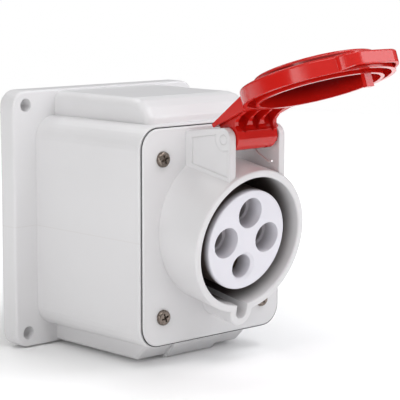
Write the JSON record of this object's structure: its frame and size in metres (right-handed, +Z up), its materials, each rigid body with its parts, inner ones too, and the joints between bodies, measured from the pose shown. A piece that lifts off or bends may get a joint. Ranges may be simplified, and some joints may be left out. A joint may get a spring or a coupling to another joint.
{
  "type": "industrial panel socket",
  "caption": "Surface-mounted round pin-and-sleeve power outlet: a white wall box with a tilted keyed collar, pin contacts and a sprung red hinged lid.",
  "frame": {"origin": "centre of the four wall fixing holes, in the plane of the wall", "axes": "+Y into the wall, -Y out of the socket's front, +X to the right seen from the front, +Z up"},
  "size_m": [0.1024, 0.165, 0.132],
  "materials": {
    "housing_white": "moulded white-grey thermoplastic, satin gloss",
    "insert_grey": "moulded thermoset insert, slightly duller than the housing",
    "ring_dark": "moulded dark clamping ring, dull",
    "lid_red": "moulded signal red plastic, glossy",
    "nickel_screw": "nickel-plated steel",
    "spring_steel": "bright drawn spring wire and strip",
    "contact_brass": "turned brass",
    "gasket_black": "black elastomer"
  },
  "bodies": {
    "housing": {"wall_box": "housing_white", "box_gasket": "gasket_black", "front_plate": "housing_white", "cover_screws": "nickel_screw", "threaded_inserts": "contact_brass", "contact_carrier": "insert_grey", "carrier_ring": "ring_dark", "terminal_block": "insert_grey", "carrier_screws": "nickel_screw", "block_screw": "nickel_screw", "contact_l1": "contact_brass", "contact_l2": "contact_brass", "contact_l3": "contact_brass", "contact_earth": "contact_brass", "clip_l1": "spring_steel", "clip_l2": "spring_steel", "clip_l3": "spring_steel", "clip_earth": "spring_steel", "terminal_screws": "nickel_screw", "hinge_pin": "nickel_screw", "lid_spring": "spring_steel"},
    "lid": {"lid": "lid_red"}
  },
  "joints": [
    {"name": "lid_hinge", "type": "hinge", "parent": "housing", "child": "lid", "pos_m": [0, -0.0983, 0.0392], "axis": [1, 0, 0], "range_deg": [0, 119.4], "deforming": ["lid_spring"]}
  ]
}
